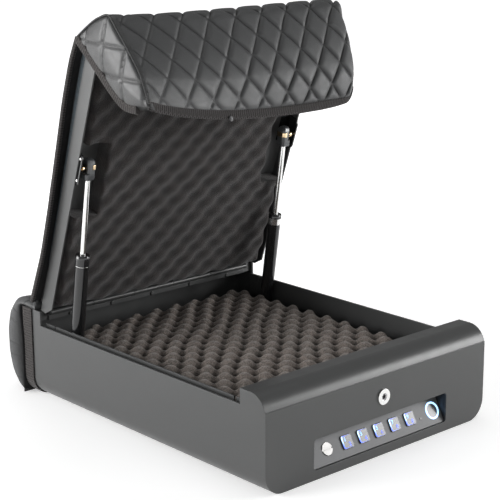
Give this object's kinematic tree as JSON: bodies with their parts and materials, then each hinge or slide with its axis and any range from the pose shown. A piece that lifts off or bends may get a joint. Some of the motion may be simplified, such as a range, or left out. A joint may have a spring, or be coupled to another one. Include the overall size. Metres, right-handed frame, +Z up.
{
  "type": "biometric safe",
  "caption": "Low top-opening safe: sheet-steel base with a tilted keypad, fingerprint reader and key lock, gas-strut lid, egg-crate foam and a quilted leather cover.",
  "frame": {"origin": "centre of the base's underside", "axes": "+X to the right seen from the front, +Y from the front bezel to the hinge, +Z up"},
  "size_m": [0.3152, 0.405, 0.4187],
  "materials": {
    "black_paint": "satin",
    "keypad_panel": "satin",
    "black_plastic": "satin",
    "key_face": "gloss",
    "light_ring": "gloss",
    "sensor_face": "satin",
    "circuit_board": "satin",
    "bright_steel": "polished",
    "plated_steel": "satin",
    "brass": "satin",
    "strut_black": "gloss",
    "cell_sleeve": "gloss",
    "tray_foam": "matte",
    "lid_foam": "matte",
    "quilted_leather": "satin",
    "webbing": "matte",
    "lining": "matte"
  },
  "bodies": {
    "base": {"base_shell": "black_paint", "lid_rails": "black_paint", "front_bulkhead": "black_paint", "keypad_housing": "black_plastic", "keypad_plate": "keypad_panel", "fingerprint_ring": "light_ring", "fingerprint_pad": "sensor_face", "status_lamp": "light_ring", "lock_barrel": "bright_steel", "lock_nut": "plated_steel", "keypad_board": "circuit_board", "battery_tray": "black_plastic", "battery_cells": "cell_sleeve", "latch_motor": "plated_steel", "motor_bracket": "plated_steel", "floor_foam": "tray_foam", "tray_foam": "tray_foam", "hinge_base_leaf": "black_paint", "hinge_pin": "black_paint", "hinge_screws": "black_paint", "lower_brackets": "plated_steel", "rear_flap": "quilted_leather", "rear_wraps": "quilted_leather"},
    "key_lock": {"lock_plug": "brass", "lock_cam": "plated_steel"},
    "service_cap": {"service_screw": "black_plastic"},
    "button_1": {"key_1": "key_face"},
    "button_2": {"key_2": "key_face"},
    "button_3": {"key_3": "key_face"},
    "button_4": {"key_4": "key_face"},
    "button_5": {"key_5": "key_face"},
    "pinion": {"drive_pinion": "brass"},
    "latch": {"latch_bolts": "plated_steel"},
    "lid": {"lid_shell": "black_paint", "hinge_lid_leaf": "black_paint", "lid_foam": "lid_foam", "upper_brackets": "strut_black", "bracket_rivets": "bright_steel", "cover_lining": "lining", "cover_top_pad": "quilted_leather", "pad_bindings": "webbing"},
    "flap": {"front_flap": "quilted_leather", "left_gusset": "quilted_leather", "right_gusset": "quilted_leather", "flap_hem": "webbing", "hem_snap": "black_plastic"},
    "left_cylinder": {"left_tube": "strut_black", "left_collar": "strut_black"},
    "left_piston": {"left_rod": "bright_steel", "left_socket": "strut_black", "left_clip": "brass"},
    "right_cylinder": {"right_tube": "strut_black", "right_collar": "bright_steel"},
    "right_piston": {"right_rod": "bright_steel", "right_socket": "strut_black", "right_clip": "brass"}
  },
  "joints": [
    {"name": "lid_hinge", "type": "hinge", "parent": "base", "child": "lid", "pos_m": [0, 0.1595, 0.093], "axis": [1, 0, 0], "range_deg": [0, 71], "stiffness_Nm_per_rad": 2.6, "springref_deg": -68.75},
    {"name": "flap_fold", "type": "hinge", "parent": "lid", "child": "flap", "pos_m": [0, 0.07025, 0.38907], "axis": [1, 0, 0], "range_deg": [-54.01, 0]},
    {"name": "left_strut_tilt", "type": "hinge", "parent": "base", "child": "left_cylinder", "pos_m": [-0.133, 0.1225, 0.04], "axis": [1, 0, 0], "range_deg": [0, 65.4]},
    {"name": "left_strut_slide", "type": "slide", "parent": "left_cylinder", "child": "left_piston", "axis": [0, 0.152, -0.9884], "range_m": [0, 0.07306]},
    {"name": "right_strut_tilt", "type": "hinge", "parent": "base", "child": "right_cylinder", "pos_m": [0.133, 0.1225, 0.04], "axis": [1, 0, 0], "range_deg": [0, 65.4]},
    {"name": "right_strut_slide", "type": "slide", "parent": "right_cylinder", "child": "right_piston", "axis": [0, 0.152, -0.9884], "range_m": [0, 0.07306]},
    {"name": "key_1_press", "type": "slide", "parent": "base", "child": "button_1", "axis": [0, 0.8763, -0.4818], "range_m": [0, 0.0008], "stiffness_N_per_m": 400},
    {"name": "key_2_press", "type": "slide", "parent": "base", "child": "button_2", "axis": [0, 0.8763, -0.4818], "range_m": [0, 0.0008], "stiffness_N_per_m": 400},
    {"name": "key_3_press", "type": "slide", "parent": "base", "child": "button_3", "axis": [0, 0.8763, -0.4818], "range_m": [0, 0.0008], "stiffness_N_per_m": 400},
    {"name": "key_4_press", "type": "slide", "parent": "base", "child": "button_4", "axis": [0, 0.8763, -0.4818], "range_m": [0, 0.0008], "stiffness_N_per_m": 400},
    {"name": "key_5_press", "type": "slide", "parent": "base", "child": "button_5", "axis": [0, 0.8763, -0.4818], "range_m": [0, 0.0008], "stiffness_N_per_m": 400},
    {"name": "lock_turn", "type": "hinge", "parent": "base", "child": "key_lock", "pos_m": [0.0013, -0.1875, 0.059], "axis": [0, 1, 0], "range_deg": [0, 90]},
    {"name": "service_turn", "type": "hinge", "parent": "base", "child": "service_cap", "pos_m": [-0.0651, -0.17905, 0.02189], "axis": [0, -0.8763, 0.4818], "range_deg": [-90, 0]},
    {"name": "latch_slide", "type": "slide", "parent": "base", "child": "latch", "axis": [0, 1, 0], "range_m": [0, 0.007]},
    {"name": "pinion_turn", "type": "hinge", "parent": "base", "child": "pinion", "pos_m": [-0.009, -0.1675, 0.072], "axis": [1, 0, 0], "range_deg": [-66.9, 0]}
  ],
  "couplings": [
    {"joint": "flap_fold", "follows": "lid_hinge", "ratio": -0.76056},
    {"joint": "left_strut_tilt", "follows": "lid_hinge", "ratio": 0.92104},
    {"joint": "left_strut_slide", "follows": "lid_hinge", "m_per_rad": 0.058942},
    {"joint": "right_strut_tilt", "follows": "lid_hinge", "ratio": 0.92104},
    {"joint": "right_strut_slide", "follows": "lid_hinge", "m_per_rad": 0.058942},
    {"joint": "pinion_turn", "follows": "latch_slide", "rad_per_m": -166.66}
  ]
}
